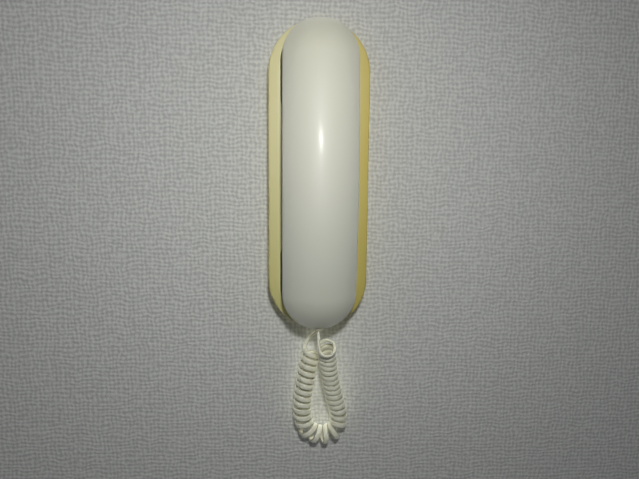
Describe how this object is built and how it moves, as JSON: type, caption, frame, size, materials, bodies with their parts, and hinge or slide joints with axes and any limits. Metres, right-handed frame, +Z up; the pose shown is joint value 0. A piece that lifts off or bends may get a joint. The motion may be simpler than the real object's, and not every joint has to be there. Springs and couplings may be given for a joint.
{
  "type": "door phone",
  "caption": "Wall-mounted door phone: stadium-shaped base with two wells, a bowed and crowned handset resting on a hook lever, and a curly cord between them.",
  "frame": {"origin": "centre of the two fixing slots, on the wall face of the bracket", "axes": "+Z up the wall, -Y out of the wall towards the user, +X to the user's right"},
  "size_m": [0.0724, 0.056, 0.3149],
  "materials": {
    "handset_shell": "glossy ivory ABS, slightly aged",
    "base_cover": "ivory ABS, strongly yellowed",
    "base_rear": "satin ivory ABS",
    "wall_bracket": "zinc-plated pressed steel",
    "screws": "zinc-plated",
    "circuit_board": "green solder mask",
    "board_capacitors": "dark sleeves",
    "line_transformer": "laminated core, varnished",
    "terminal_block": "white polyamide",
    "terminal_screws": "plain brass",
    "call_speaker": "black steel basket and paper cone",
    "gaskets": "closed-cell foam",
    "hook_lever": "ivory acetal",
    "hook_parts": "bright steel wire and rod",
    "hook_switch": "black body, bronze leaf",
    "receiver_capsule": "black moulded capsule",
    "microphone_capsule": "drawn can",
    "microphone_boot": "moulded rubber",
    "weight_plate": "plain steel bar",
    "handset_wires": "PVC-covered wires",
    "cord": "ivory PVC, glossy",
    "grommets": "ivory rubber"
  },
  "bodies": {
    "base": {"wall_bracket": "wall_bracket", "base_rear": "base_rear", "base_cover": "base_cover", "case_screws": "screws", "circuit_board": "circuit_board", "board_screws": "screws", "board_capacitors": "board_capacitors", "line_transformer": "line_transformer", "terminal_block": "terminal_block", "terminal_screws": "terminal_screws", "hook_switch": "hook_switch", "hook_lever_pin": "hook_parts", "hook_spring": "hook_parts", "call_speaker": "call_speaker", "speaker_gasket": "gaskets", "base_cord_grommet": "grommets", "curly_cord": "cord", "base_lead": "cord"},
    "handset": {"handset_front": "handset_shell", "handset_back": "handset_shell", "handset_screws": "screws", "receiver_capsule": "receiver_capsule", "receiver_gasket": "gaskets", "microphone_capsule": "microphone_capsule", "microphone_boot": "microphone_boot", "weight_plate": "weight_plate", "handset_wires": "handset_wires", "handset_cord_grommet": "grommets", "handset_lead": "cord"},
    "hook_lever": {"hook_lever": "hook_lever"}
  },
  "joints": [
    {"name": "handset_lift", "type": "slide", "parent": "base", "child": "handset", "axis": [0, -0.9563, 0.2924], "range_m": [0, 0.07]},
    {"name": "hook_lever_turn", "type": "hinge", "parent": "base", "child": "hook_lever", "pos_m": [0, -0.008, -0.052], "axis": [-1, 0, 0], "range_deg": [0, 18.1]}
  ],
  "couplings": [
    {"joint": "hook_lever_turn", "follows": "handset_lift", "rad_per_m": 4.488}
  ]
}
